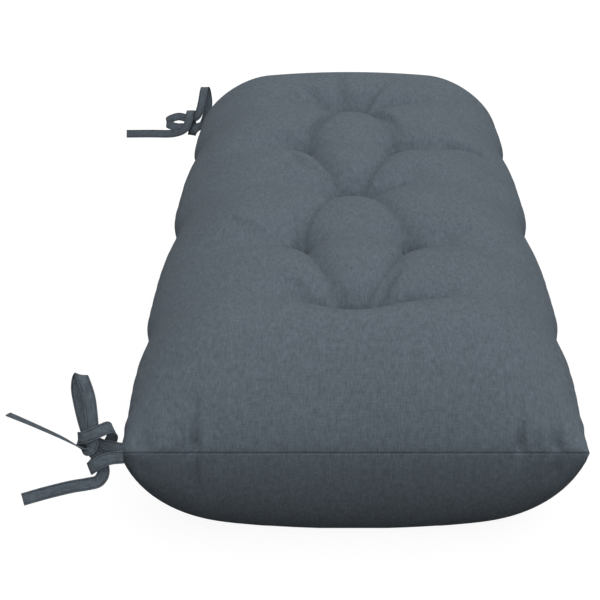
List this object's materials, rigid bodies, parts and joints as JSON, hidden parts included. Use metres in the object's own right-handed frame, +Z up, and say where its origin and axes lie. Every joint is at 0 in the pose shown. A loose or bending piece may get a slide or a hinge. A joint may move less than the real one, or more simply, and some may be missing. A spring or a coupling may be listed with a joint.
{
  "type": "bench cushion",
  "caption": "Long tufted bench cushion of plain woven cloth, filled, with a knife-edge seam and a flat ribbon tie in a bow at each end of its back edge.",
  "frame": {"origin": "centre of the underside, on the surface that the cushion lies on, measured without the ties", "axes": "+X along the cushion's length, +Y towards its back edge with the ties, +Z up out of the tufted face"},
  "size_m": [1.0736, 0.6448, 0.2609],
  "materials": {
    "cushion_cloth": "matt woven cloth, slate grey",
    "tie_cloth": "matt flat ribbon of the same cloth, slate grey"
  },
  "bodies": {
    "root": {"cushion": "cushion_cloth", "tie_near_riser": "tie_cloth", "tie_near_wrap": "tie_cloth", "tie_far_riser": "tie_cloth", "tie_far_wrap": "tie_cloth"}
  },
  "joints": []
}
